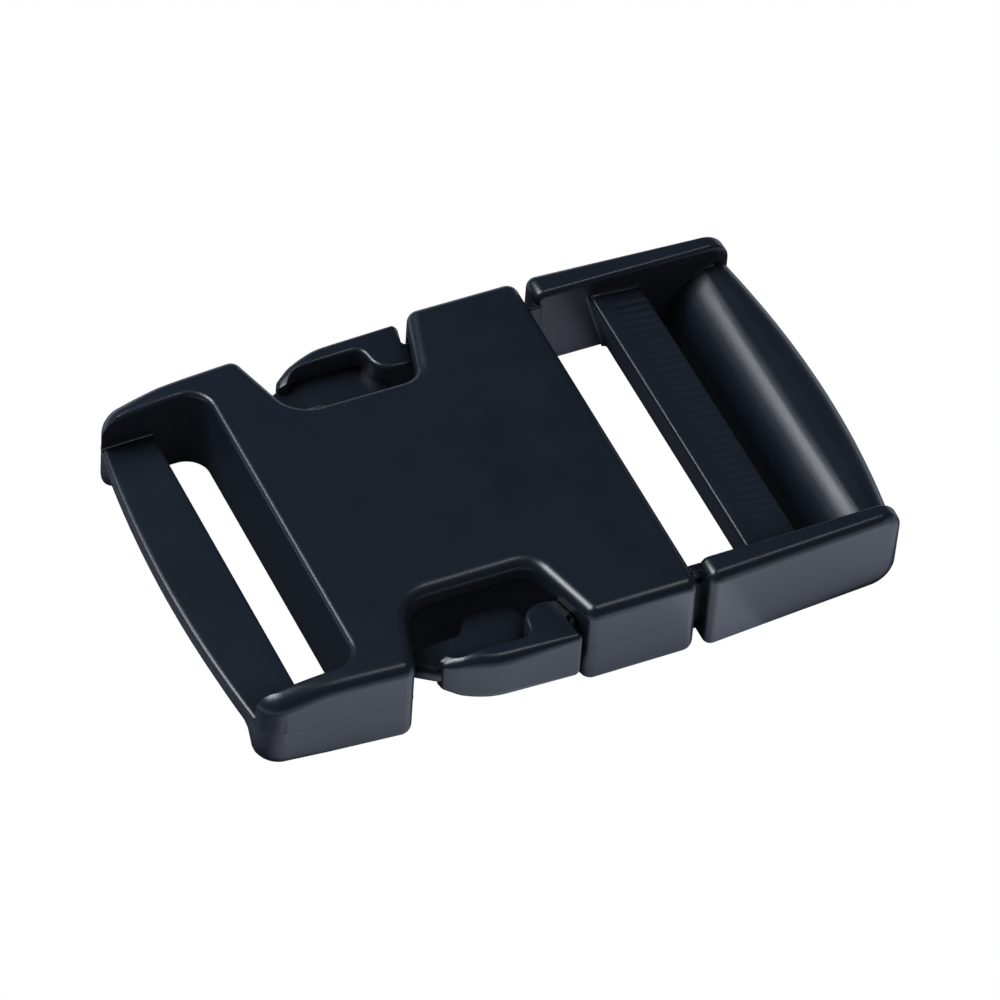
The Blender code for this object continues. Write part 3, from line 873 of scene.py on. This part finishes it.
def pale_floor():
    mesh = bpy.data.meshes.new("floor")
    signs = ((-1, -1), (1, -1), (1, 1), (-1, 1))
    mesh.from_pydata([(FLOOR_HALF * x, FLOOR_HALF * y, 0) for x, y in signs], [], [(0, 1, 2, 3)])
    mesh.materials.append(floor_material())
    floor = bpy.data.objects.new("floor", mesh)
    floor.location.z = CAD_BOX[0].z - FLOOR_GAP
    bpy.context.scene.collection.objects.link(floor)


def softbox(name, towards, distance, side, power):
    """A square area light that faces the buckle from the direction towards."""
    light = bpy.data.lights.new(name, "AREA")
    light.shape = "SQUARE"
    light.size = side
    light.energy = power
    light.color = LAMP_TINT
    lamp = bpy.data.objects.new(name, light)
    way = Vector(towards).normalized()
    lamp.location = way * distance
    lamp.rotation_mode = "QUATERNION"
    lamp.rotation_quaternion = way.to_track_quat("Z", "Y")
    bpy.context.scene.collection.objects.link(lamp)


def studio():
    """A dim room that looks white, a large soft lamp behind on the left, and a weak one above."""
    world = bpy.data.worlds.new("studio")
    bpy.context.scene.world = world
    world.use_nodes = True
    nodes, links = world.node_tree.nodes, world.node_tree.links
    seen = nodes.new("ShaderNodeLightPath")
    tint = nodes.new("ShaderNodeMix")
    tint.data_type = "RGBA"
    tint.inputs["A"].default_value = ROOM_TINT
    tint.inputs["B"].default_value = WHITE
    links.new(seen.outputs["Is Camera Ray"], tint.inputs["Factor"])
    links.new(tint.outputs["Result"], nodes["Background"].inputs["Color"])
    nodes["Background"].inputs["Strength"].default_value = 1.0
    softbox("back_left_box", (-0.50, 0.36, 0.78), distance=0.8, side=0.36, power=7.4)
    softbox("top_box", (0.28, -0.06, 0.95), distance=0.9, side=0.25, power=1.0)
    bpy.context.scene.view_settings.view_transform = "Standard"


def camera():
    """A long lens, which looks down at the buckle from beyond the near side of the socket's end."""
    back = Vector((
        math.sin(AZIMUTH) * math.cos(ELEVATION),
        -math.cos(AZIMUTH) * math.cos(ELEVATION),
        math.sin(ELEVATION),
    ))
    right = Vector((0, 0, 1)).cross(back).normalized()
    up = back.cross(right)
    rolled_right = right * math.cos(ROLL) + up * math.sin(ROLL)
    rolled_up = up * math.cos(ROLL) - right * math.sin(ROLL)
    data = bpy.data.cameras.new("camera")
    data.lens = FOCAL_LENGTH
    data.sensor_width = SENSOR_WIDTH
    data.clip_start, data.clip_end = CLIP_START, CLIP_END
    made = bpy.data.objects.new("camera", data)
    turned = Matrix((rolled_right, rolled_up, back)).transposed().to_4x4()
    made.matrix_world = Matrix.Translation(AIM + back * CAMERA_DISTANCE) @ turned
    bpy.context.scene.collection.objects.link(made)
    bpy.context.scene.camera = made


def main():
    finish_material = acetal()
    shell = to_frame(socket(), finish_material)
    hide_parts("socket_body")
    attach(shell, "socket")
    moulding = to_frame(plug(), finish_material)
    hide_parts("plug_frame")
    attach(moulding, "plug")
    for word, side in (("left", 1), ("right", -1)):
        latch = to_frame(arm(side), finish_material)
        latch.name = "latch_" + word
        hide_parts("latch_arm_" + word)
        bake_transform(latch)
    pale_floor()
    studio()
    camera()


main()
